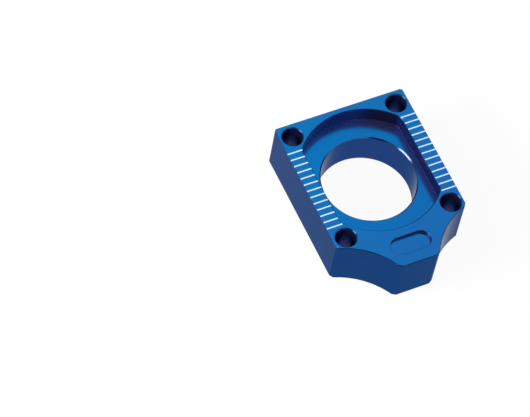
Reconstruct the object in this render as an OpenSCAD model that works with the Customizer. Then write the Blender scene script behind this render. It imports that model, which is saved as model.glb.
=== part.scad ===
// Axle block of a motorcycle chain adjuster, milled from one piece of aluminium bar.
// The origin is on the axle's centre line at the back face. +Z runs out of the back face
// towards the pocketed face, and the nose that meets the adjuster bolt points along -Y.
// All sizes are in millimetres.

/* [Outline] */
// Width across the two straight sides
block_w = 37; // [36:0.5:44]
// Thickness from the back face to the pocketed face
block_t = 14.5; // [12:0.5:18]
// Axle centre to the straight end
far_len = 20; // [19.5:0.5:26]
// Axle centre to where the straight sides stop and the hollows start
side_len = 18.6; // [17.8:0.1:22]
// Axle centre to the flat end of the nose
nose_len = 29.3; // [27.5:0.1:34]
// Width of the flat end of the nose
nose_w = 11; // [8:0.5:16]
// Radius of the hollow on each side of the nose
hollow_r = 21; // [16:0.5:40]

/* [Edges] */
// Bevel along the edges of the two faces
face_bevel = 0.15; // [0.1:0.05:0.3]
// Bevel down the two upright edges of the straight end
end_bevel = 0.5; // [0.1:0.05:1]
// Bevel down the upright edges on both sides of each hollow
hollow_bevel = 0.75; // [0.3:0.05:1.2]

/* [Axle bore] */
// Diameter of the axle
axle_d = 25; // [20:0.5:26]
// Gap between the axle and the bore, on the radius
axle_gap = 0.1; // [0.05:0.01:0.3]
// Bevel at both mouths of the bore
bore_bevel = 0.3; // [0.1:0.05:0.5]

/* [Head pocket] */
// Diameter of the pocket, measured along the block
pocket_d = 37; // [32:0.5:37.5]
// Width of the pocket between its two flats
pocket_w = 28.8; // [27.6:0.1:30]
// Depth of the pocket below the face
pocket_depth = 4.5; // [2.5:0.25:7]
// Radius of the upright corners, where a flat meets the round wall
pocket_corner_r = 3; // [1:0.25:5]
// Radius at the foot of the pocket's wall
pocket_foot_r = 0.1; // [0.1:0.1:0.9]
// Bevel along the pocket's rim
pocket_bevel = 0.2; // [0.1:0.05:0.3]

/* [Corner holes] */
// Diameter of the four corner holes
hole_d = 5.5; // [3:0.1:5.7]
// Hole centres to the nearer straight side
hole_side_inset = 3.5; // [3.2:0.1:3.9]
// Far hole centres to the straight end
hole_far_inset = 3.75; // [3.4:0.05:4]
// Metal left between a near hole and the hollow beside it
hole_land = 0.55; // [0.4:0.05:1]
// Bevel at each mouth of the holes
hole_bevel = 0.25; // [0.1:0.05:0.3]

/* [Scale] */
// Distance from one mark to the next
mark_pitch = 2; // [1:0.25:3]
// Width of a mark
mark_w = 0.4; // [0.3:0.05:0.7]
// Depth of a mark
mark_depth = 0.12; // [0.05:0.01:0.3]
// How far the middle mark is set towards the nose
mark_shift = 0.3; // [0:0.1:0.5]
// Least metal left along the block between the last mark and a corner hole
mark_gap = 0.7; // [0.4:0.1:1.5]

/* [Nose recess] */
// Length of the recess across the nose
recess_len = 11; // [7:0.5:12]
// Width of the recess along the nose
recess_w = 5; // [3:0.25:6]
// Depth of the recess
recess_depth = 0.9; // [0.4:0.1:1.5]
// Metal left between the recess and the flat end of the nose
recess_land = 3.2; // [2:0.1:3.5]

/* [Hidden] */
$fn = 96;
// How far a cutter runs past the face that it cuts
over = 1;
bore_r = axle_d / 2 + axle_gap;
floor_z = block_t - pocket_depth;
block_len = far_len + nose_len;
pocket_r = pocket_d / 2;
pocket_half_w = pocket_w / 2;
// Ends of the right-hand hollow, at the straight side and at the nose
hollow_top = [block_w / 2, -side_len];
hollow_tip = [nose_w / 2, -nose_len];
hollow_chord = hollow_tip - hollow_top;
hollow_rise = sqrt(pow(hollow_r, 2) - pow(norm(hollow_chord) / 2, 2));
// Unit vector square to the chord, pointing out of the block
hollow_out = [-hollow_chord[1], hollow_chord[0]] / norm(hollow_chord);
hollow_centre = (hollow_top + hollow_tip) / 2 + hollow_rise * hollow_out;
hole_r = hole_d / 2;
hole_x = block_w / 2 - hole_side_inset;
hole_far_y = far_len - hole_far_inset;
// The near holes keep their land from the hollow's round wall
hole_from_hollow = hollow_r + hole_land + hole_r;
hole_near_y = hollow_centre[1] + sqrt(pow(hole_from_hollow, 2) - pow(hollow_centre[0] - hole_x, 2));
// A rounded corner crosses the flat and the round wall by this much, so it doesn't only graze them
corner_cross = 0.02;
// Centre of the pocket's rounded corner
corner_x = pocket_half_w - pocket_corner_r + corner_cross;
corner_y = sqrt(pow(pocket_r - pocket_corner_r + corner_cross, 2) - pow(corner_x, 2));
// Marks on each side of the middle one
mark_reach = min(hole_far_y + mark_shift, -hole_near_y - mark_shift);
mark_room = mark_reach - hole_r - mark_gap - mark_w / 2;
marks_each_way = floor(mark_room / mark_pitch);

// A rectangle that stands on the X axis, centred, with its four corners bevelled
module bevelled_section(width, height, bevel) {
    half = width / 2;
    polygon([
        [bevel - half, 0], [half - bevel, 0], [half, bevel], [half, height - bevel],
        [half - bevel, height], [bevel - half, height], [-half, height - bevel], [-half, bevel]
    ]);
}

// The sawn and faced bar: a plain slab with every edge bevelled
module bar() {
    middle_y = (far_len - nose_len) / 2;
    intersection() {
        translate([0, far_len, 0])
            rotate([90, 0, 0])
                linear_extrude(block_len)
                    bevelled_section(block_w, block_t, face_bevel);
        translate([-block_w / 2, middle_y, 0])
            rotate([90, 0, 90])
                linear_extrude(block_w)
                    bevelled_section(block_len, block_t, face_bevel);
        linear_extrude(block_t)
            translate([0, -nose_len])
                bevelled_section(block_w, block_len, end_bevel);
    }
}

// A round cutter from one height to another that also bevels both of its mouths
module bevelled_hole(radius, bottom, top, bevel) {
    mouth = radius + bevel;
    rotate_extrude()
        polygon([
            [0, bottom - over], [mouth, bottom - over], [mouth, bottom], [radius, bottom + bevel],
            [radius, top - bevel], [mouth, top], [mouth, top + over], [0, top + over]
        ]);
}

// Takes the sharp upright edge off a corner of the outline, whose walls leave it along a and b
module upright_edge_break(corner, a, b) {
    reach = 2 * hollow_bevel;
    translate([corner[0], corner[1], -over])
        linear_extrude(block_t + 2 * over)
            polygon([
                hollow_bevel * a,
                hollow_bevel * b,
                hollow_bevel * b - reach * a,
                -reach * (a + b),
                hollow_bevel * a - reach * b
            ]);
}

// The right-hand hollow beside the nose, with its two upright edges taken off
module nose_hollow() {
    top_spoke = (hollow_top - hollow_centre) / hollow_r;
    tip_spoke = (hollow_tip - hollow_centre) / hollow_r;
    translate([hollow_centre[0], hollow_centre[1], 0])
        bevelled_hole(hollow_r, 0, block_t, face_bevel);
    upright_edge_break(hollow_top, [0, 1], [-top_spoke[1], top_spoke[0]]);
    upright_edge_break(hollow_tip, [-1, 0], [tip_spoke[1], -tip_spoke[0]]);
}

// Half section of the pocket out to a given reach: rounded foot, upright wall, bevelled rim
module pocket_section(reach) {
    foot_z = floor_z + pocket_foot_r;
    translate([0, floor_z])
        square([reach - pocket_foot_r, pocket_depth]);
    translate([reach - pocket_foot_r, foot_z])
        circle(pocket_foot_r);
    polygon([
        [0, foot_z], [reach, foot_z], [reach, block_t - pocket_bevel],
        [reach + pocket_bevel, block_t], [reach + pocket_bevel, block_t + over], [0, block_t + over]
    ]);
}

// What a rounded corner leaves standing between a flat and the round wall
module corner_fill() {
    spoke = [corner_x, corner_y] / norm([corner_x, corner_y]);
    reach = 3 * pocket_corner_r + over;
    translate([corner_x, corner_y, 0])
        difference() {
            linear_extrude(block_t + 2 * over)
                polygon([[0, 0], [reach, 0], reach * ([1, 0] + spoke), reach * spoke]);
            rotate_extrude()
                pocket_section(pocket_corner_r);
        }
}

// The round pocket cut off by its two flats, before its corners are rounded
module sharp_pocket() {
    intersection() {
        rotate_extrude()
            pocket_section(pocket_r);
        for (side = [0, 1])
            mirror([side, 0, 0])
                translate([0, pocket_r + over, 0])
                    rotate([90, 0, 0])
                        linear_extrude(pocket_d + 2 * over)
                            pocket_section(pocket_half_w);
    }
}

// The pocket for the axle's head: round along the block, with two flats that stop it turning
module head_pocket() {
    difference() {
        sharp_pocket();
        for (x = [0, 1], y = [0, 1])
            mirror([x, 0, 0])
                mirror([0, y, 0])
                    corner_fill();
    }
}

// The four holes in the corners of the straight part
module corner_holes() {
    for (x = [-hole_x, hole_x], y = [hole_near_y, hole_far_y])
        translate([x, y, 0])
            bevelled_hole(hole_r, 0, block_t, hole_bevel);
}

// The right-hand row of engraved marks, from the pocket's rim out to the side
module mark_row() {
    start = pocket_half_w - pocket_bevel;
    for (i = [-marks_each_way:marks_each_way])
        translate([start, i * mark_pitch - mark_shift - mark_w / 2, block_t - mark_depth])
            cube([block_w / 2 - start + over, mark_w, mark_depth + over]);
}

// The shallow round-ended recess across the nose
module nose_recess() {
    straight = recess_len - recess_w;
    translate([0, recess_land + recess_w / 2 - nose_len, block_t - recess_depth]) {
        for (x = [-straight / 2, straight / 2])
            translate([x, 0, 0])
                cylinder(h = recess_depth + over, d = recess_w);
        translate([-straight / 2, -recess_w / 2, 0])
            cube([straight, recess_w, recess_depth + over]);
    }
}

// The finished block, cut from the bar in the order that a mill would cut it
module axle_block() {
    color("dodgerblue")
        difference() {
            bar();
            nose_hollow();
            mirror([1, 0, 0]) nose_hollow();
            bevelled_hole(bore_r, 0, floor_z, bore_bevel);
            head_pocket();
            corner_holes();
            mark_row();
            mirror([1, 0, 0]) mark_row();
            nose_recess();
        }
}

axle_block();
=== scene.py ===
"""Visual model of a motorcycle chain adjuster's axle block, in metres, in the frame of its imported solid."""

import logging
import math
from dataclasses import dataclass, field
from enum import Enum, IntEnum

import bmesh
import bpy
from mathutils import Matrix, Quaternion, Vector


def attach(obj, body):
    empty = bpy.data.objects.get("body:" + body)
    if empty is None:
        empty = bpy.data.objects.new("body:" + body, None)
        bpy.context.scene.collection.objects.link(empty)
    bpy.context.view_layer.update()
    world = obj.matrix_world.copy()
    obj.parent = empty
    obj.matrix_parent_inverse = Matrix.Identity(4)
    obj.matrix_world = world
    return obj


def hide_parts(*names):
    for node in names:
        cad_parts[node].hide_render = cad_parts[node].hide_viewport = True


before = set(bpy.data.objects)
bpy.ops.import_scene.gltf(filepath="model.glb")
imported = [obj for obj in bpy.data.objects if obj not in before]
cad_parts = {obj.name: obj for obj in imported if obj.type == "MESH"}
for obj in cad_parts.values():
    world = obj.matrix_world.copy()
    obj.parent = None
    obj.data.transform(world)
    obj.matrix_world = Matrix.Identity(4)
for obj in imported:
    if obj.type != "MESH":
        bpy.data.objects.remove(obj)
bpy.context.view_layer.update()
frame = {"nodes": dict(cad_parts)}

LOG = logging.getLogger("axle_block")

# A millimetre in metres, and a quarter turn in radians
MM = 0.001
QUARTER = math.pi / 2

# Even a short arc is made of this many straight pieces
FEWEST_CHORDS = 2

# Points of an outline that are closer than this, in millimetres, are one point
SAME_POINT = 1e-6

# The fine pattern is the tool's grain and the broad one the clouds in the dye
FINE_NOISE = {"Scale": 1.0, "Detail": 3.0, "Roughness": 0.6}
BROAD_NOISE = {"Scale": 90.0, "Detail": 2.0, "Roughness": 0.5}
FINE_SHARE = 0.4
BROAD_SHARE = 0.6

# The values between which a noise pattern mostly stays
NOISE_REACH = (0.25, 0.75)

# The clear film that seals the anodising
FILM_ROUGHNESS = 0.12
FILM_IOR = 1.5

# Places of a Mix node's sockets for colours, whose names stand for several sockets each
MIX_SHARE = 0
MIX_FIRST = 6
MIX_SECOND = 7
MIX_RESULT = 2

WHITE = (1.0, 1.0, 1.0)

Pair = tuple[float, float]
Triple = tuple[float, float, float]
Section = list[Pair]
Socket = bpy.types.NodeSocket


class Skin(IntEnum):
    """How a region of the block was cut. The value is the region's place among the block's materials."""

    FACED = 0
    PROFILED = 1
    POCKETED = 2
    BROKEN_EDGE = 3
    ENGRAVED = 4
    DRILLED = 5
    POCKET_FLOOR = 6
    BORE_MOUTH = 7
    HOLE_MOUTH = 8
    WALL_FOOT = 9


class Way(Enum):
    """Which way a mouth opens along the axle."""

    UP = 1
    DOWN = -1


@dataclass(frozen=True)
class RingPoint:
    """A point of an outline in millimetres, with the direction that an offset of 1 mm moves it in."""

    x: float
    y: float
    nx: float
    ny: float

    def mirrored(self) -> "RingPoint":
        """The same point on the other side of the plane through the axle and the nose."""
        return RingPoint(-self.x, self.y, -self.nx, self.ny)

    def distance(self, other: "RingPoint") -> float:
        """How far another point is, in millimetres."""
        return math.hypot(self.x - other.x, self.y - other.y)


@dataclass(frozen=True)
class Arc:
    """A circular stretch of an outline, walked from one angle to another.

    Attributes:
        centre: The arc's centre in millimetres.
        radius: The arc's radius in millimetres.
        start: Angle of the first point in radians.
        end: Angle of the last point in radians.
        hollow: True where the outline's normal points at the centre.
    """

    centre: Pair
    radius: float
    start: float
    end: float
    hollow: bool = False

    def points(self, step: float) -> list[RingPoint]:
        """Walks the arc.

        Args:
            step: Largest angle between two points in radians.

        Returns:
            The arc's points, both ends among them.
        """
        count = max(FEWEST_CHORDS, math.ceil(abs(self.end - self.start) / step))
        sign = -1.0 if self.hollow else 1.0
        walked = []
        for i in range(count + 1):
            angle = self.start + (self.end - self.start) * i / count
            across, along = math.cos(angle), math.sin(angle)
            x = self.centre[0] + self.radius * across
            y = self.centre[1] + self.radius * along
            walked.append(RingPoint(x, y, sign * across, sign * along))
        return walked


def closed(right_half: list[RingPoint]) -> list[RingPoint]:
    """Completes an outline that is the same on both sides.

    Args:
        right_half: The outline's right half, walked from the nose to the straight end.

    Returns:
        The whole outline, without doubled points where the halves meet.
    """
    whole = right_half + [point.mirrored() for point in reversed(right_half)]
    kept = []
    for point in whole:
        if not kept or point.distance(kept[-1]) > SAME_POINT:
            kept.append(point)
    if kept[0].distance(kept[-1]) < SAME_POINT:
        kept.pop()
    return kept


def mitre(place: Vector, before: Vector, after: Vector) -> RingPoint:
    """A sharp corner of an outline.

    Args:
        place: The corner in millimetres.
        before: Unit normal of the wall that comes in.
        after: Unit normal of the wall that goes out.

    Returns:
        The corner, with the offset direction that keeps both walls parallel to themselves.
    """
    outward = (before + after) / (1 + before.dot(after))
    return RingPoint(place.x, place.y, outward.x, outward.y)


def bevel(start: Vector, before: Vector, end: Vector, after: Vector) -> list[RingPoint]:
    """A flat that takes off a corner of an outline.

    Args:
        start: Where the flat starts, in millimetres.
        before: Unit normal of the wall that comes in.
        end: Where the flat ends.
        after: Unit normal of the wall that goes out.

    Returns:
        The flat's two corners.
    """
    along = (end - start).normalized()
    flat = Vector((along.y, -along.x))
    return [mitre(start, before, flat), mitre(end, flat, after)]


def circle(centre: Pair, radius: float, points: int) -> list[RingPoint]:
    """A full circle as an outline.

    Args:
        centre: Centre in millimetres.
        radius: Radius in millimetres.
        points: How many points it has.

    Returns:
        The circle's points, walked once round.
    """
    angles = [math.tau * i / points for i in range(points)]
    spokes = [(math.cos(angle), math.sin(angle)) for angle in angles]
    return [RingPoint(centre[0] + radius * x, centre[1] + radius * y, x, y) for x, y in spokes]


@dataclass
class Loft:
    """A closed solid that carries one section round one outline.

    Attributes:
        ring: The outline, walked with the solid on its left.
        section: Distance out of the outline and height of each point, from the lowest to the highest,
            in millimetres.
        bands: The skin between each two points of the section.
        caps: The skins of the lower and the upper cap.
    """

    ring: list[RingPoint]
    section: Section
    bands: list[Skin]
    caps: tuple[Skin, Skin]

    def add_to(self, bm: bmesh.types.BMesh) -> None:
        """Adds the solid's faces to a mesh.

        Args:
            bm: The mesh that is being made.
        """
        rows = []
        for out, height in self.section:
            places = [(p.x + out * p.nx, p.y + out * p.ny) for p in self.ring]
            rows.append([bm.verts.new((x * MM, y * MM, height * MM)) for x, y in places])
        count = len(self.ring)
        for low, high, skin in zip(rows, rows[1:], self.bands):
            for i in range(count):
                j = (i + 1) % count
                bm.faces.new((low[i], low[j], high[j], high[i])).material_index = skin
        bm.faces.new(list(reversed(rows[0]))).material_index = self.caps[0]
        bm.faces.new(rows[-1]).material_index = self.caps[1]


@dataclass(frozen=True)
class Mouth:
    """The bevelled edge of an opening, where its wall meets a face.

    Attributes:
        bevel: The bevel's width in millimetres.
        face: Height of the face that the opening breaks through.
        way: Which way the mouth opens.
        run_out: How far past the face the cutter goes on.
    """

    bevel: float
    face: float
    way: Way
    run_out: float = 0.25

    def section(self) -> Section:
        """Works out the mouth's share of a wall's section.

        Returns:
            The bevel's end on the wall, and the end of its run-out past the face.
        """
        sign = self.way.value
        on_wall = (0, self.face - sign * self.bevel)
        past_face = (self.bevel + self.run_out, self.face + sign * self.run_out)
        return [on_wall, past_face]


def through_section(bottom: Mouth, top: Mouth) -> Section:
    """A straight wall between two bevelled mouths.

    Args:
        bottom: The lower mouth.
        top: The upper mouth.

    Returns:
        The section from the lowest point to the highest.
    """
    return list(reversed(bottom.section())) + top.section()


def blind_section(floor: float, foot: float, top: Mouth, steps: int = 5) -> tuple[Section, list[Skin]]:
    """A flat floor, a rounded foot, a straight wall and a bevelled mouth.

    Args:
        floor: Height of the floor in millimetres.
        foot: Radius between the floor and the wall in millimetres.
        top: The mouth.
        steps: Flats that make up the foot.

    Returns:
        The section from the floor to the highest point, and the skin of each of its bands.
    """
    angles = [QUARTER * i / steps for i in range(steps + 1)]
    low = [(foot * (math.sin(angle) - 1), floor + foot * (1 - math.cos(angle))) for angle in angles]
    bands = [Skin.WALL_FOOT] * steps + [Skin.POCKETED, Skin.BROKEN_EDGE]
    return low + top.section(), bands


def solid_object(name: str, solids: list[Loft]) -> bpy.types.Object:
    """Makes one object out of closed solids that don't touch.

    Args:
        name: The object's name.
        solids: The solids.

    Returns:
        The object, linked into the scene.
    """
    bm = bmesh.new()
    for solid in solids:
        solid.add_to(bm)
    mesh = bpy.data.meshes.new(name)
    bm.to_mesh(mesh)
    bm.free()
    made = bpy.data.objects.new(name, mesh)
    bpy.context.scene.collection.objects.link(made)
    return made


@dataclass
class Bar:
    """The bar that the block is cut from, already profiled: straight sides, two hollows and the nose.

    Sizes are in millimetres. The axle's centre line is the origin, and the nose points along minus Y.

    Attributes:
        half_width: From the middle to a straight side.
        thickness: From the back face to the pocketed face.
        far_length: From the axle to the straight end.
        nose_length: From the axle to the nose's flat end.
        hollow_radius: Radius of the hollow on each side of the nose.
        hollow_centre: Centre of the right-hand hollow, whose wall passes through the side's and the
            nose's corners as they are before they are bevelled.
        side_length: From the axle to where the straight sides stop.
        nose_half: Half the width of the nose's flat end.
        end_bevel: Bevel down the upright edges of the straight end.
        hollow_bevel: Bevel down the upright edges of each hollow.
        face_edge: Bevel along the edges of the two faces.
        wall_step: Largest angle between two points of a hollow, in radians.
    """

    half_width: float = 18.5
    thickness: float = 14.5
    far_length: float = 20.0
    nose_length: float = 29.3
    hollow_radius: float = 21.0
    hollow_centre: Pair = (24.2262, -38.8042)
    side_length: float = 18.6
    nose_half: float = 5.5
    end_bevel: float = 0.5
    hollow_bevel: float = 0.75
    face_edge: float = 0.15
    wall_step: float = math.radians(1)

    def hollow_wall(self) -> list[RingPoint]:
        """Walks the right-hand hollow, as far as the bevels at both of its ends leave it.

        Returns:
            The points from the nose to the straight side.
        """
        centre = Vector(self.hollow_centre)
        tip_spoke = Vector((self.nose_half, -self.nose_length)) - centre
        shoulder_spoke = Vector((self.half_width, -self.side_length)) - centre
        set_back = self.hollow_bevel / self.hollow_radius
        start = math.atan2(tip_spoke.y, tip_spoke.x) % math.tau - set_back
        end = math.atan2(shoulder_spoke.y, shoulder_spoke.x) % math.tau + set_back
        return Arc(self.hollow_centre, self.hollow_radius, start, end, hollow=True).points(self.wall_step)

    def right_half(self) -> list[RingPoint]:
        """Walks the right half of the outline, with every corner bevelled.

        Returns:
            The points from the nose's flat end to the straight end.
        """
        wall = self.hollow_wall()
        first, last = wall[0], wall[-1]
        down, right, up = Vector((0, -1)), Vector((1, 0)), Vector((0, 1))
        tip = Vector((self.nose_half - self.hollow_bevel, -self.nose_length))
        shoulder = Vector((self.half_width, self.hollow_bevel - self.side_length))
        side_end = Vector((self.half_width, self.far_length - self.end_bevel))
        end = Vector((self.half_width - self.end_bevel, self.far_length))
        return [
            *bevel(tip, down, Vector((first.x, first.y)), Vector((first.nx, first.ny))),
            *wall[1:-1],
            *bevel(Vector((last.x, last.y)), Vector((last.nx, last.ny)), shoulder, right),
            *bevel(side_end, right, end, up),
        ]

    def solid(self) -> Loft:
        """Carries the section of the bar's edges round its outline.

        Returns:
            The profiled bar as one solid, with the edges of its faces bevelled.
        """
        edge, top = self.face_edge, self.thickness
        section = [(-edge, 0), (0, edge), (0, top - edge), (-edge, top)]
        bands = [Skin.BROKEN_EDGE, Skin.PROFILED, Skin.BROKEN_EDGE]
        return Loft(closed(self.right_half()), section, bands, (Skin.FACED, Skin.FACED))


@dataclass
class HeadPocket:
    """The pocket that keeps the axle's head from turning: round along the block, with two flats.

    Attributes:
        radius: Radius of the round wall in millimetres, as all the sizes.
        half_width: From the middle to a flat.
        floor: Height of the floor.
        face: Height of the face that it is cut into.
        corner: Radius of the upright corners.
        foot: Radius at the foot of the wall.
        lip: Bevel along the rim.
        wall_step: Largest angle between two points of the round wall, in radians.
        corner_step: The same for the corners.
    """

    radius: float = 18.5
    half_width: float = 14.4
    floor: float = 10.0
    face: float = 14.5
    corner: float = 3.0
    foot: float = 0.1
    lip: float = 0.2
    wall_step: float = math.radians(1.5)
    corner_step: float = math.radians(3)

    def ring(self) -> list[RingPoint]:
        """Walks the pocket's outline at its wall.

        Returns:
            The points, once round the pocket.
        """
        x = self.half_width - self.corner
        y = math.sqrt((self.radius - self.corner) ** 2 - x**2)
        turn = math.atan2(y, x)
        return closed(
            [
                *Arc((0, 0), self.radius, -QUARTER, -turn).points(self.wall_step)[:-1],
                *Arc((x, -y), self.corner, -turn, 0).points(self.corner_step),
                *Arc((x, y), self.corner, 0, turn).points(self.corner_step),
                *Arc((0, 0), self.radius, turn, QUARTER).points(self.wall_step)[1:],
            ]
        )

    def cutter(self) -> bpy.types.Object:
        """Makes the pocket's cutter.

        Returns:
            The solid that the pocket takes out of the bar.
        """
        section, bands = blind_section(self.floor, self.foot, Mouth(self.lip, self.face, Way.UP))
        solid = Loft(self.ring(), section, bands, (Skin.POCKET_FLOOR, Skin.FACED))
        return solid_object("pocket_cutter", [solid])


@dataclass
class AxleBore:
    """The through bore for the axle, from the back face to the pocket's floor.

    Attributes:
        radius: The bore's radius in millimetres, as all the sizes.
        floor: Height of the pocket's floor.
        lip: Bevel at both mouths.
        points: How many points its outline has.
    """

    radius: float = 12.6
    floor: float = 10.0
    lip: float = 0.3
    points: int = 192

    def cutter(self) -> bpy.types.Object:
        """Makes the bore's cutter.

        Returns:
            The solid that the bore takes out of the bar.
        """
        section = through_section(Mouth(self.lip, 0, Way.DOWN), Mouth(self.lip, self.floor, Way.UP))
        bands = [Skin.BORE_MOUTH, Skin.PROFILED, Skin.BORE_MOUTH]
        ring = circle((0, 0), self.radius, self.points)
        return solid_object("bore_cutter", [Loft(ring, section, bands, (Skin.PROFILED, Skin.PROFILED))])


@dataclass
class CornerHoles:
    """The four screw holes in the corners of the straight part.

    Attributes:
        radius: A hole's radius in millimetres, as all the sizes.
        x: From the middle to the holes' centres, on both sides.
        near_y: Centre of the holes beside the hollows, which leaves 0.55 mm to the hollow's wall.
        far_y: Centre of the holes at the straight end.
        face: Height of the pocketed face.
        lip: Bevel at both mouths.
        points: How many points an outline has.
    """

    radius: float = 2.75
    x: float = 15.0
    near_y: float = -16.3238
    far_y: float = 16.25
    face: float = 14.5
    lip: float = 0.25
    points: int = 64

    def cutter(self) -> bpy.types.Object:
        """Makes the holes' cutter.

        Returns:
            The four solids that the holes take out of the bar.
        """
        section = through_section(Mouth(self.lip, 0, Way.DOWN), Mouth(self.lip, self.face, Way.UP))
        bands = [Skin.HOLE_MOUTH, Skin.DRILLED, Skin.HOLE_MOUTH]
        centres = [(x, y) for x in (-self.x, self.x) for y in (self.near_y, self.far_y)]
        rings = [circle(centre, self.radius, self.points) for centre in centres]
        solids = [Loft(ring, section, bands, (Skin.DRILLED, Skin.DRILLED)) for ring in rings]
        return solid_object("hole_cutter", solids)


@dataclass
class NoseRecess:
    """The shallow round-ended recess across the nose.

    Attributes:
        centre_y: Its middle line, in millimetres as all the sizes.
        half_straight: Half the length of its straight edges.
        radius: Radius of its round ends.
        depth: Its depth.
        face: Height of the face that it is cut into.
        foot: Radius at the foot of the wall.
        lip: Bevel along the rim.
        end_step: Largest angle between two points of an end, in radians.
    """

    centre_y: float = -23.6
    half_straight: float = 3.0
    radius: float = 2.5
    depth: float = 0.9
    face: float = 14.5
    foot: float = 0.15
    lip: float = 0.1
    end_step: float = math.radians(5)

    def cutter(self) -> bpy.types.Object:
        """Makes the recess's cutter.

        Returns:
            The solid that the recess takes out of the bar.
        """
        centre = (self.half_straight, self.centre_y)
        right_end = Arc(centre, self.radius, -QUARTER, QUARTER).points(self.end_step)
        top = Mouth(self.lip, self.face, Way.UP)
        section, bands = blind_section(self.face - self.depth, self.foot, top)
        solid = Loft(closed(right_end), section, bands, (Skin.FACED, Skin.FACED))
        return solid_object("recess_cutter", [solid])


@dataclass
class ScaleMarks:
    """The two rows of engraved marks that show how far the axle has moved.

    Attributes:
        each_way: Marks on each side of the middle one.
        pitch: From one mark to the next, in millimetres as all the sizes.
        shift: How far the middle mark is set towards the nose.
        width: Width of a mark.
        depth: Depth of a mark.
        start_x: Where a mark starts, inside the pocket's rim.
        end_x: Where its cutter ends, past the straight side.
        face: Height of the face that it is cut into.
        overrun: How far the cutter stands above the face.
    """

    each_way: int = 6
    pitch: float = 2.0
    shift: float = 0.3
    width: float = 0.4
    depth: float = 0.12
    start_x: float = 14.2
    end_x: float = 19.5
    face: float = 14.5
    overrun: float = 1.0

    def cutter(self) -> bpy.types.Object:
        """Makes the marks' cutter.

        Returns:
            The slots that the marks take out of the bar.
        """
        section = [(0, self.face - self.depth), (0, self.face + self.overrun)]
        solids = []
        for side in (-1, 1):
            left, right = sorted((side * self.start_x, side * self.end_x))
            for i in range(-self.each_way, self.each_way + 1):
                middle = i * self.pitch - self.shift
                near, far = middle - self.width / 2, middle + self.width / 2
                corners = ((left, near), (right, near), (right, far), (left, far))
                ring = [RingPoint(x, y, 0, 0) for x, y in corners]
                solids.append(Loft(ring, section, [Skin.ENGRAVED], (Skin.ENGRAVED, Skin.ENGRAVED)))
        return solid_object("mark_cutter", solids)


class NodeBench:
    """Short calls for making a node tree."""

    def __init__(self, tree: bpy.types.NodeTree) -> None:
        """Starts on an empty tree.

        Args:
            tree: The tree, whose default nodes are cleared.
        """
        self.tree = tree
        tree.nodes.clear()

    def add(self, kind: str, inputs: dict | None = None, **settings: object) -> bpy.types.Node:
        """Adds a node.

        Args:
            kind: The node's type, such as ShaderNodeBump.
            inputs: A value, or a socket to link from, for each input by name or number.
            settings: The node's own properties.

        Returns:
            The new node.
        """
        node = self.tree.nodes.new(kind)
        for name, value in settings.items():
            setattr(node, name, value)
        for name, value in (inputs or {}).items():
            if isinstance(value, bpy.types.NodeSocket):
                self.tree.links.new(value, node.inputs[name])
            else:
                node.inputs[name].default_value = value
        return node

    def compute(self, operation: str, first: object, second: object = 0.0, clamp: bool = False) -> Socket:
        """Adds a Math node.

        Args:
            operation: The operation's name.
            first: The first value or socket.
            second: The second value or socket.
            clamp: True to keep the result between 0 and 1.

        Returns:
            The result's socket.
        """
        inputs = {0: first, 1: second}
        return self.add("ShaderNodeMath", inputs, operation=operation, use_clamp=clamp).outputs[0]

    def ramp(self, value: Socket, source: Pair, target: Pair, kind: str = "LINEAR") -> Socket:
        """Maps one range on another and keeps the result inside it.

        Args:
            value: The value to map.
            source: Start and end of the value's range.
            target: Start and end of the result's range.
            kind: How the result rises between them.

        Returns:
            The result's socket.
        """
        inputs = dict(enumerate((value, *source, *target)))
        return self.add("ShaderNodeMapRange", inputs, interpolation_type=kind).outputs[0]

    def blend_shaders(self, share: Socket, first: Socket, second: Socket) -> Socket:
        """Blends two shaders.

        Args:
            share: The second shader's share.
            first: The first shader.
            second: The second shader.

        Returns:
            The blend's socket.
        """
        return self.add("ShaderNodeMixShader", {0: share, 1: first, 2: second}).outputs[0]


def rgba(colour: Triple) -> tuple[float, float, float, float]:
    """A colour with full alpha."""
    return (*colour, 1.0)


def new_material(name: str) -> tuple[bpy.types.Material, NodeBench]:
    """Makes a material without nodes.

    Args:
        name: The material's name.

    Returns:
        The material, and a bench on its node tree.
    """
    made = bpy.data.materials.new(name)
    made.use_nodes = True
    return made, NodeBench(made.node_tree)


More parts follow.
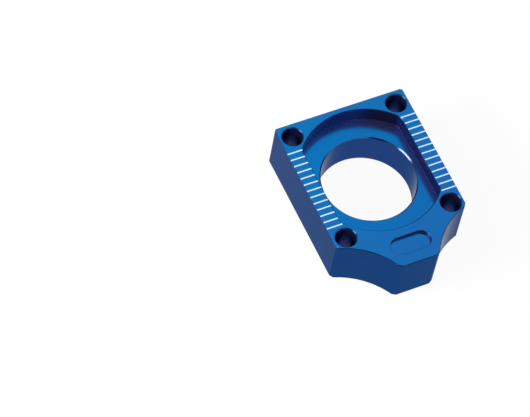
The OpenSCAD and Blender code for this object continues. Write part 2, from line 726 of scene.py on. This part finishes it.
@dataclass(frozen=True, kw_only=True)
class AnodisedFinish:
    """Dyed anodised aluminium as one kind of cut leaves it, with painted shade in the colours of some walls
    and bevels.

    Attributes:
        name: The material's name.
        colour: Linear colour of the dyed metal.
        deep_and_shade: Linear colour that the tone mixes towards, by the clouds and the grain, and as painted
            shade where a wall or a bevel leans.
        lean: How far the tone moves towards deep_and_shade for each metre along X, Y and Z; on the walls it
            is painted shade and painted reflection.
        roughness: Mean roughness.
        spread: How far the roughness swings either way.
        metallic: Share of the light that the metal sends back.
        edge_tint: Tint of the reflection at a flat angle.
        film: Strength of the clear film on top.
        grain: Frequency of the pattern along X, Y and Z, per metre.
        relief: Depth of the pattern in metres.
    """

    name: str
    colour: Triple
    deep_and_shade: Triple
    lean: Triple = (0.0, 0.0, 0.0)
    roughness: float
    spread: float
    metallic: float
    edge_tint: Triple
    film: float
    grain: Triple
    relief: float

    def guide(self, bench: NodeBench, place: Socket) -> Socket:
        """Picks the vector that the tone leans along, which is the position for most cuts.

        Args:
            bench: The material's node tree.
            place: Position in the part's own frame.

        Returns:
            The vector's socket.
        """
        return place

    def covered(self, bench: NodeBench, place: Socket, metal: Socket) -> Socket:
        """Lays on what goes over the dyed metal, which is nothing for most cuts and a painted reflection on
        the pocket's floor.

        Args:
            bench: The material's node tree.
            place: Position in the part's own frame.
            metal: The shader of the dyed metal.

        Returns:
            The shader of the finished surface.
        """
        return metal

    def dye_and_painted_shade(self, bench: NodeBench, place: Socket, fine: Socket) -> Socket:
        """Mixes the two colours by the clouds, the grain and the lean, which on walls and bevels is painted
        shade and painted reflection.

        Args:
            bench: The material's node tree.
            place: Position in the part's own frame.
            fine: The grain's value.

        Returns:
            The colour's socket.
        """
        broad = bench.add("ShaderNodeTexNoise", {"Vector": place, **BROAD_NOISE}).outputs[0]
        leaning = {0: self.guide(bench, place), 1: self.lean}
        drift = bench.add("ShaderNodeVectorMath", leaning, operation="DOT_PRODUCT").outputs["Value"]
        swing = bench.compute("ADD", bench.compute("MULTIPLY", fine, FINE_SHARE), drift)
        tone = bench.compute("ADD", swing, bench.compute("MULTIPLY", broad, BROAD_SHARE), clamp=True)
        inputs = {MIX_SHARE: tone, MIX_FIRST: rgba(self.colour), MIX_SECOND: rgba(self.deep_and_shade)}
        return bench.add("ShaderNodeMix", inputs, data_type="RGBA").outputs[MIX_RESULT]

    def material(self) -> bpy.types.Material:
        """Makes the finish's material.

        Returns:
            The material, with its colour, roughness and relief from patterns in the part's own frame.
        """
        made, bench = new_material(self.name)
        place = bench.add("ShaderNodeTexCoord").outputs["Object"]
        stretched = bench.add("ShaderNodeMapping", {"Vector": place, "Scale": self.grain}).outputs[0]
        fine = bench.add("ShaderNodeTexNoise", {"Vector": stretched, **FINE_NOISE}).outputs[0]
        roughnesses = (self.roughness - self.spread, self.roughness + self.spread)
        relief = {"Strength": 1.0, "Distance": self.relief, "Height": fine}
        metal = bench.add(
            "ShaderNodeBsdfPrincipled",
            {
                "Base Color": self.dye_and_painted_shade(bench, place, fine),
                "Roughness": bench.ramp(fine, NOISE_REACH, roughnesses),
                "Metallic": self.metallic,
                "Specular Tint": rgba(self.edge_tint),
                "Coat Weight": self.film,
                "Coat Roughness": FILM_ROUGHNESS,
                "Coat IOR": FILM_IOR,
                "Normal": bench.add("ShaderNodeBump", relief).outputs[0],
            },
        ).outputs[0]
        bench.add("ShaderNodeOutputMaterial", {"Surface": self.covered(bench, place, metal)})
        return made


@dataclass(frozen=True, kw_only=True)
class FacingShadedBevel(AnodisedFinish):
    """A bevel whose colour is painted by the way that it faces and not by the place: painted shade where it
    faces the key lamp, painted reflection elsewhere.

    Its lean tells how much further towards deep_and_shade the tone moves where the bevel faces straight along
    X, Y and Z.
    """

    def guide(self, bench: NodeBench, place: Socket) -> Socket:
        """Picks the way that the bevel faces, in the part's own frame.

        Args:
            bench: The material's node tree.
            place: Position in the part's own frame, which is not used: a bevel's painted shade follows its
                facing.

        Returns:
            The socket of the facing direction, one unit long.
        """
        return bench.add("ShaderNodeTexCoord").outputs["Normal"]


@dataclass(frozen=True, kw_only=True)
class ReflectionPaintedFloor(AnodisedFinish):
    """The pocket's floor, with a thin violet painted reflection of the dark walls along the foot of two of
    its walls.

    The painted reflection lies outside a shape like the pocket that is moved against X and Y. Sizes are in
    millimetres.

    Attributes:
        reflection_tint: Linear colour of the painted reflection.
        reflection_share: How much of the metal the painted reflection covers.
        drift: How far the shape is moved against X and Y.
        half_width: From the shape's middle to its flats.
        radius: Radius of the shape's round ends.
        blur: Width of the painted reflection's soft edge.
    """

    reflection_tint: Triple
    reflection_share: float
    drift: Pair
    half_width: float
    radius: float
    blur: float

    def beyond(self, bench: NodeBench, distance: Socket, limit: float) -> Socket:
        """Rises softly from 0 to 1 where a distance passes a limit.

        Args:
            bench: The material's node tree.
            distance: The distance in metres.
            limit: The limit in millimetres.

        Returns:
            The rise's socket.
        """
        half = self.blur / 2
        edge = ((limit - half) * MM, (limit + half) * MM)
        return bench.ramp(distance, edge, (0.0, 1.0), "SMOOTHSTEP")

    def covered(self, bench: NodeBench, place: Socket, metal: Socket) -> Socket:
        """Lays the painted reflection of the walls on the dyed metal.

        Args:
            bench: The material's node tree.
            place: Position in the part's own frame.
            metal: The shader of the dyed metal.

        Returns:
            The shader of the finished surface.
        """
        drift = (self.drift[0] * MM, self.drift[1] * MM, 0.0)
        moved = bench.add("ShaderNodeVectorMath", {0: place, 1: drift}, operation="ADD").outputs[0]
        x, y, _ = bench.add("ShaderNodeSeparateXYZ", {0: moved}).outputs
        square = bench.compute("ADD", bench.compute("MULTIPLY", x, x), bench.compute("MULTIPLY", y, y))
        by_flat = self.beyond(bench, bench.compute("ABSOLUTE", x), self.half_width)
        by_round = self.beyond(bench, bench.compute("SQRT", square), self.radius)
        share = bench.compute("MULTIPLY", bench.compute("MAXIMUM", by_flat, by_round), self.reflection_share)
        # Violet painted reflection of the dark walls in the floor, at the foot of the right and far walls
        reflection_layer = bench.add("ShaderNodeBsdfDiffuse", {"Color": rgba(self.reflection_tint)}).outputs[0]
        return bench.blend_shaders(share, metal, reflection_layer)


FINISHES: dict[Skin, AnodisedFinish] = {
    Skin.FACED: AnodisedFinish(
        name="faced_blue",
        colour=(0.0022, 0.174, 0.490),
        deep_and_shade=(0.0085, 0.132, 0.430),
        lean=(14.0, -13.0, 0.0),
        roughness=0.20,
        spread=0.03,
        metallic=1.0,
        edge_tint=(0.6, 0.7, 0.8),
        film=0.12,
        grain=(5200, 5200, 5200),
        relief=0.0000008,
    ),
    # The profiled walls and the bore's wall: a darker copy of the blue as painted shade, darker still towards
    # the nose
    Skin.PROFILED: AnodisedFinish(
        name="profiled_blue_painted_shade",
        colour=(0.0160, 0.049, 0.212),
        deep_and_shade=(0.0045, 0.046, 0.184),
        lean=(0.0, -20.0, 0.0),
        roughness=0.24,
        spread=0.05,
        metallic=1.0,
        edge_tint=(0.46, 0.52, 0.62),
        film=0.10,
        grain=(260, 260, 5200),
        relief=0.0000025,
    ),
    # The walls of the pocket and the recess: painted reflection, lighter towards minus X and darker towards
    # plus X
    Skin.POCKETED: AnodisedFinish(
        name="pocketed_blue_painted_reflection",
        colour=(0.185, 0.110, 0.325),
        deep_and_shade=(0.042, 0.038, 0.126),
        lean=(36.0, 0.0, 0.0),
        roughness=0.22,
        spread=0.06,
        metallic=0.90,
        edge_tint=(0.5, 0.5, 0.6),
        film=0.10,
        grain=(220, 220, 6000),
        relief=0.000004,
    ),
    # Painted shade: the outer edges' bevels are darker where they face minus X and minus Y, towards the key
    # lamp and the nose
    Skin.BROKEN_EDGE: FacingShadedBevel(
        name="edge_blue_painted_shade",
        colour=(0.004, 0.105, 0.330),
        deep_and_shade=(0.003, 0.031, 0.102),
        lean=(-2.4, -1.5, 1.41),
        roughness=0.34,
        spread=0.04,
        metallic=1.0,
        edge_tint=(0.30, 0.40, 0.55),
        film=0.0,
        grain=(2600, 2600, 2600),
        relief=0.0000008,
    ),
    # Painted shade and painted reflection: the bore's bevels are dark where they face the key lamp, keeping
    # its highlight small and white, and lighter blue elsewhere
    Skin.BORE_MOUTH: FacingShadedBevel(
        name="bore_mouth_blue_painted_shade",
        colour=(0.006, 0.130, 0.400),
        deep_and_shade=(0.010, 0.015, 0.030),
        lean=(-7.7, -2.2, -6.9),
        roughness=0.20,
        spread=0.03,
        metallic=1.0,
        edge_tint=(0.40, 0.50, 0.65),
        film=0.16,
        grain=(2600, 2600, 2600),
        relief=0.0000002,
    ),
    # Painted shade and painted reflection: the holes' bevels are dark where they face the key lamp, keeping
    # its highlight small, and lighter blue elsewhere
    Skin.HOLE_MOUTH: FacingShadedBevel(
        name="hole_mouth_blue_painted_shade",
        colour=(0.005, 0.090, 0.280),
        deep_and_shade=(0.002, 0.013, 0.032),
        lean=(-7.7, -2.2, -6.9),
        roughness=0.32,
        spread=0.03,
        metallic=1.0,
        edge_tint=(0.40, 0.50, 0.65),
        film=0.035,
        grain=(2600, 2600, 2600),
        relief=0.0000002,
    ),
    Skin.WALL_FOOT: AnodisedFinish(
        name="wall_foot_blue",
        colour=(0.030, 0.034, 0.130),
        deep_and_shade=(0.024, 0.028, 0.110),
        roughness=0.30,
        spread=0.04,
        metallic=0.95,
        edge_tint=(0.3, 0.35, 0.5),
        film=0.0,
        grain=(220, 220, 6000),
        relief=0.000001,
    ),
    Skin.ENGRAVED: AnodisedFinish(
        name="engraved_bright",
        colour=(0.66, 0.82, 0.98),
        deep_and_shade=(0.54, 0.71, 0.95),
        roughness=0.55,
        spread=0.10,
        metallic=0.10,
        edge_tint=WHITE,
        film=0.0,
        grain=(1200, 4200, 4200),
        relief=0.000006,
    ),
    Skin.DRILLED: AnodisedFinish(
        name="drilled_blue",
        colour=(0.040, 0.052, 0.168),
        deep_and_shade=(0.032, 0.042, 0.140),
        roughness=0.30,
        spread=0.06,
        metallic=0.88,
        edge_tint=(0.3, 0.35, 0.45),
        film=0.05,
        grain=(400, 400, 6000),
        relief=0.000004,
    ),
    Skin.POCKET_FLOOR: ReflectionPaintedFloor(
        name="pocket_floor_blue_painted_reflection",
        colour=(0.0012, 0.180, 0.525),
        deep_and_shade=(0.0062, 0.136, 0.430),
        lean=(14.0, -8.0, 0.0),
        roughness=0.21,
        spread=0.02,
        metallic=1.0,
        edge_tint=(0.6, 0.7, 0.8),
        film=0.05,
        grain=(5200, 5200, 5200),
        relief=0.0000008,
        # Violet painted reflection of the dark walls along the foot of the right and far walls
        reflection_tint=(0.145, 0.125, 0.400),
        reflection_share=0.11,
        drift=(1.50, 2.20),
        half_width=14.15,
        radius=18.4,
        blur=1.0,
    ),
}


@dataclass
class AxleBlock:
    """The whole block: the profiled bar with everything that is cut into it.

    Attributes:
        bar: The profiled bar.
        pocket: The pocket for the axle's head.
        bore: The bore for the axle.
        holes: The screw holes.
        recess: The recess on the nose.
        marks: The engraved scales.
        smooth_below: Faces that meet at less than this angle, in radians, are shaded as one.
        flat_weight: How strongly the larger faces set the shading at their edges, up to 100.
    """

    bar: Bar = field(default_factory=Bar)
    pocket: HeadPocket = field(default_factory=HeadPocket)
    bore: AxleBore = field(default_factory=AxleBore)
    holes: CornerHoles = field(default_factory=CornerHoles)
    recess: NoseRecess = field(default_factory=NoseRecess)
    marks: ScaleMarks = field(default_factory=ScaleMarks)
    smooth_below: float = math.radians(34)
    flat_weight: int = 90

    def settle(self, block: bpy.types.Object) -> None:
        """Replaces the block's mesh by what its modifiers make of it.

        Args:
            block: The block, whose modifiers are then taken off.
        """
        bpy.context.view_layer.update()
        seen = block.evaluated_get(bpy.context.evaluated_depsgraph_get())
        mesh = bpy.data.meshes.new_from_object(seen)
        mesh.name = block.name
        old = block.data
        block.modifiers.clear()
        block.data = mesh
        bpy.data.meshes.remove(old)

    def cut(self) -> bpy.types.Object:
        """Cuts the openings into the bar.

        Returns:
            The cut block, with no cutter left in the scene.
        """
        block = solid_object("milled_block", [self.bar.solid()])
        for skin in Skin:
            block.data.materials.append(FINISHES[skin].material())
        openings = (self.pocket, self.bore, self.holes, self.recess, self.marks)
        cutters = [opening.cutter() for opening in openings]
        for cutter in cutters:
            step = block.modifiers.new(cutter.name, "BOOLEAN")
            step.operation = "DIFFERENCE"
            step.solver = "EXACT"
            step.object = cutter
            step.material_mode = "INDEX"
        self.settle(block)
        for cutter in cutters:
            spare = cutter.data
            bpy.data.objects.remove(cutter)
            bpy.data.meshes.remove(spare)
        return block

    def shade(self, block: bpy.types.Object) -> None:
        """Shades the round walls smoothly, and keeps the flats flat and their bevels crisp.

        Args:
            block: The cut block.
        """
        mesh = block.data
        mesh.polygons.foreach_set("use_smooth", [True] * len(mesh.polygons))
        mesh.set_sharp_from_angle(angle=self.smooth_below)
        weigh = block.modifiers.new("flat_faces", "WEIGHTED_NORMAL")
        weigh.mode = "FACE_AREA"
        weigh.weight = self.flat_weight
        weigh.keep_sharp = True
        self.settle(block)

    def build(self) -> bpy.types.Object:
        """Builds and dresses the block, and seats it on its body.

        Returns:
            The finished piece.
        """
        block = self.cut()
        self.shade(block)
        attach(block, "root")
        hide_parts("axle_block")
        mesh = block.data
        LOG.info("%s: %d faces, %d materials", block.name, len(mesh.polygons), len(mesh.materials))
        return block


def towards(azimuth: float, elevation: float) -> Vector:
    """Where a thing stands, seen from the block.

    Args:
        azimuth: Degrees round the block from straight in front of the nose.
        elevation: Degrees above the horizon.

    Returns:
        The unit vector.
    """
    turn, rise = math.radians(azimuth), math.radians(elevation)
    return Vector((math.sin(turn) * math.cos(rise), -math.cos(turn) * math.cos(rise), math.sin(rise)))


def sheet(name: str, half_size: Pair, material: bpy.types.Material) -> bpy.types.Object:
    """Makes a flat sheet that faces along its own Z.

    Args:
        name: The sheet's name.
        half_size: Half its width and half its height in metres.
        material: What it is made of.

    Returns:
        The sheet, linked into the scene.
    """
    right, top = half_size
    corners = [(-right, -top, 0), (right, -top, 0), (right, top, 0), (-right, top, 0)]
    mesh = bpy.data.meshes.new(name)
    mesh.from_pydata(corners, [], [(0, 1, 2, 3)])
    mesh.materials.append(material)
    made = bpy.data.objects.new(name, mesh)
    bpy.context.scene.collection.objects.link(made)
    return made


@dataclass
class Studio:
    """The white floor and the world around it.

    Attributes:
        floor_half: Half the floor's width in metres.
        floor_drop: How far the floor lies under the block, in metres.
        floor_colour: Linear colour of the floor's paper.
        floor_lift: Share of plain white that the paper shows on top of its own shading.
        room_level: Strength of the light from all round.
    """

    floor_half: float = 1.6
    floor_drop: float = 0.00002
    floor_colour: Triple = (0.90, 0.90, 0.91)
    floor_lift: float = 0.94
    room_level: float = 0.60

    def shown_rays(self, bench: NodeBench, share: float = 1.0) -> Socket:
        """Tells rays that show the background from rays that only light the block.

        Args:
            bench: The node tree to add to.
            share: The value for rays that show the background.

        Returns:
            The share for camera, glossy and transmission rays, and 0 for the others.
        """
        rays = bench.add("ShaderNodeLightPath").outputs
        either = bench.compute("ADD", rays["Is Camera Ray"], rays["Is Glossy Ray"], clamp=True)
        any_of_them = bench.compute("ADD", either, rays["Is Transmission Ray"], clamp=True)
        return bench.compute("MULTIPLY", any_of_them, share)

    def lay_floor(self) -> bpy.types.Object:
        """Lays the floor just under the block.

        Returns:
            The floor.
        """
        paper, bench = new_material("floor_paper")
        matt = bench.add("ShaderNodeBsdfDiffuse", {"Color": rgba(self.floor_colour)}).outputs[0]
        white = bench.add("ShaderNodeEmission", {"Color": rgba(WHITE), "Strength": 1.0}).outputs[0]
        lifted = bench.blend_shaders(self.shown_rays(bench, self.floor_lift), matt, white)
        bench.add("ShaderNodeOutputMaterial", {"Surface": lifted})
        floor = sheet("floor", (self.floor_half, self.floor_half), paper)
        floor.location.z = -self.floor_drop
        LOG.info("floor: %.1f m square", 2 * self.floor_half)
        return floor

    def light_room(self) -> None:
        """Gives the world a white that shows and a plain level that lights."""
        world = bpy.data.worlds.new("white_room")
        world.use_nodes = True
        bpy.context.scene.world = world
        bench = NodeBench(world.node_tree)
        seen = {"Color": rgba(WHITE), "Strength": 1.0}
        level = {"Color": rgba(WHITE), "Strength": self.room_level}
        shown = bench.add("ShaderNodeBackground", seen).outputs[0]
        lights = bench.add("ShaderNodeBackground", level).outputs[0]
        mixed = bench.blend_shaders(self.shown_rays(bench), lights, shown)
        bench.add("ShaderNodeOutputWorld", {"Surface": mixed})
        LOG.info("world: level %.2f", self.room_level)


@dataclass(frozen=True)
class Softbox:
    """An oblong soft lamp that faces the block.

    Attributes:
        name: The lamp's name.
        direction: Where it stands, seen from the block.
        distance: How far away, in metres.
        size: Its width and height in metres.
        tilt: Degrees that its long side is turned up from level.
        watts: Its power.
    """

    name: str
    direction: Triple
    distance: float
    size: Pair
    tilt: float
    watts: float

    def hang(self) -> bpy.types.Object:
        """Hangs the lamp, turned to the block.

        Returns:
            The lamp, linked into the scene.
        """
        data = bpy.data.lights.new(self.name, "AREA")
        data.shape = "RECTANGLE"
        data.energy = self.watts
        data.size, data.size_y = self.size
        lamp = bpy.data.objects.new(self.name, data)
        away = Vector(self.direction).normalized()
        tilted = Quaternion((0, 0, 1), math.radians(self.tilt))
        lamp.location = away * self.distance
        lamp.rotation_mode = "QUATERNION"
        lamp.rotation_quaternion = away.to_track_quat("Z", "Y") @ tilted
        bpy.context.scene.collection.objects.link(lamp)
        LOG.info("%s: %.1f W", self.name, self.watts)
        return lamp


@dataclass(frozen=True)
class DarkCard:
    """A dark card behind the camera, which only shows as a reflection in the block.

    Attributes:
        azimuth: Degrees round the block from straight in front of the nose.
        elevation: Degrees above the horizon.
        distance: How far away, in metres.
        half_size: Half its width and half its height in metres.
        shade: Linear grey of the card.
    """

    azimuth: float
    elevation: float
    distance: float
    half_size: Pair
    shade: float

    def stand(self) -> bpy.types.Object:
        """Stands the card up, turned to the block.

        Returns:
            The card.
        """
        felt, bench = new_material("card_felt")
        grey = rgba((self.shade, self.shade, self.shade))
        matt = bench.add("ShaderNodeBsdfDiffuse", {"Color": grey}).outputs[0]
        bench.add("ShaderNodeOutputMaterial", {"Surface": matt})
        card = sheet("dark_card", self.half_size, felt)
        away = towards(self.azimuth, self.elevation)
        card.location = away * self.distance
        card.rotation_mode = "QUATERNION"
        card.rotation_quaternion = away.to_track_quat("Z", "Y")
        card.visible_camera = False
        card.visible_diffuse = False
        card.visible_shadow = False
        card.visible_transmission = False
        LOG.info("dark card: %.2f by %.2f m", 2 * self.half_size[0], 2 * self.half_size[1])
        return card


SOFTBOX = Softbox(
    name="key_softbox",
    direction=(-0.874, 0.093, 0.477),
    distance=0.60,
    size=(0.29, 0.08),
    tilt=16.0,
    watts=4.4,
)
CARD = DarkCard(azimuth=-36.0, elevation=45.0, distance=1.05, half_size=(0.29, 0.53), shade=0.02)


@dataclass(frozen=True)
class PhotoCamera:
    """The camera at the photograph's angle.

    Attributes:
        azimuth: Degrees round the block from straight in front of the nose.
        elevation: Degrees above the horizon.
        roll: Degrees of turn about the line of sight.
        distance: Metres from the axle's centre line at the back face, along the line of sight.
        focal: Focal length in pixels of the frame.
        frame: The frame's width and height in pixels.
        origin: Pixel where the frame's origin shows.
        sensor: Sensor width in millimetres.
        clip: Nearest and furthest distance that shows, in metres.
    """

    azimuth: float = -34.201
    elevation: float = 57.415
    roll: float = -11.428
    distance: float = 0.810
    focal: float = 3099.2
    frame: tuple[int, int] = (530, 417)
    origin: Pair = (363.843, 198.993)
    sensor: float = 36.0
    clip: Pair = (0.01, 20.0)

    def axes(self) -> tuple[Vector, Vector, Vector]:
        """Works out which way the camera is turned.

        Returns:
            The picture's right and up, and the way back from the block to the camera.
        """
        back = towards(self.azimuth, self.elevation)
        turn, roll = math.radians(self.azimuth), math.radians(self.roll)
        level = Vector((math.cos(turn), math.sin(turn), 0))
        steep = back.cross(level)
        right = math.cos(roll) * level - math.sin(roll) * steep
        up = math.sin(roll) * level + math.cos(roll) * steep
        return right, up, back

    def place(self) -> bpy.types.Object:
        """Places the camera and makes it the scene's own.

        Returns:
            The camera.
        """
        right, up, back = self.axes()
        per_pixel = self.distance / self.focal
        x = (self.origin[0] - self.frame[0] / 2) * per_pixel
        y = (self.frame[1] / 2 - self.origin[1]) * per_pixel
        data = bpy.data.cameras.new("photo_camera")
        data.sensor_fit = "HORIZONTAL"
        data.sensor_width = self.sensor
        data.lens = self.focal * self.sensor / self.frame[0]
        data.clip_start, data.clip_end = self.clip
        camera = bpy.data.objects.new("photo_camera", data)
        turned = Matrix((right, up, back)).transposed().to_4x4()
        camera.matrix_world = Matrix.Translation(back * self.distance - right * x - up * y) @ turned
        bpy.context.scene.collection.objects.link(camera)
        bpy.context.scene.camera = camera
        LOG.info("camera: lens %.1f mm, %.2f m away", data.lens, self.distance)
        return camera


def main() -> None:
    """Builds the block, the studio and the camera."""
    logging.basicConfig(level=logging.INFO, format="%(name)s: %(message)s")
    bpy.context.scene.view_settings.view_transform = "Standard"
    AxleBlock().build()
    studio = Studio()
    studio.lay_floor()
    studio.light_room()
    SOFTBOX.hang()
    CARD.stand()
    PhotoCamera().place()


if __name__ == "__main__":
    main()
